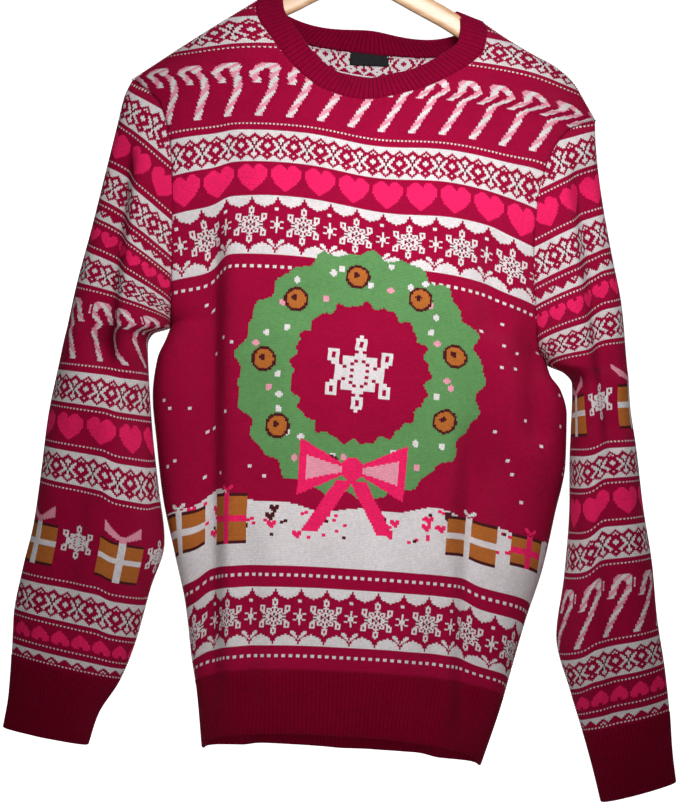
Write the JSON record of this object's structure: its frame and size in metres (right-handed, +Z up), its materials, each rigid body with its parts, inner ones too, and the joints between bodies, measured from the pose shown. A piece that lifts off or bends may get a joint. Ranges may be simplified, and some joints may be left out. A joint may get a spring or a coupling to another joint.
{
  "type": "christmas sweater on wooden hanger",
  "caption": "knitted crew-neck christmas sweater in cherry red with white fair isle bands, ribbed neck, hem and cuffs, hung open on a contoured wooden hanger with a wire hook",
  "frame": {"origin": "the point inside the top of the wire hook that bears on a rail", "axes": "+Z up, the front of the sweater faces -Y, +X is to the right of someone who looks at its front"},
  "size_m": [0.6331, 0.1, 0.8409],
  "materials": {
    "jacquard_knit": "fine acrylic jacquard stitch, matt with a slight sheen, cherry red with white, pink, green and brown yarns",
    "rib_knit": "1x1 rib in plain cherry red yarn, matt",
    "label_satin": "black woven satin, bare",
    "beech_wood": "light beech with a thin clear lacquer",
    "hook_steel": "bright plated steel wire"
  },
  "bodies": {
    "root": {"front_panel": "jacquard_knit", "back_panel": "jacquard_knit", "left_sleeve": "jacquard_knit", "right_sleeve": "jacquard_knit", "neck_rib": "rib_knit", "hem_rib": "rib_knit", "left_cuff": "rib_knit", "right_cuff": "rib_knit", "neck_label": "label_satin", "hanger_wood": "beech_wood", "hanger_hook": "hook_steel"}
  },
  "joints": []
}
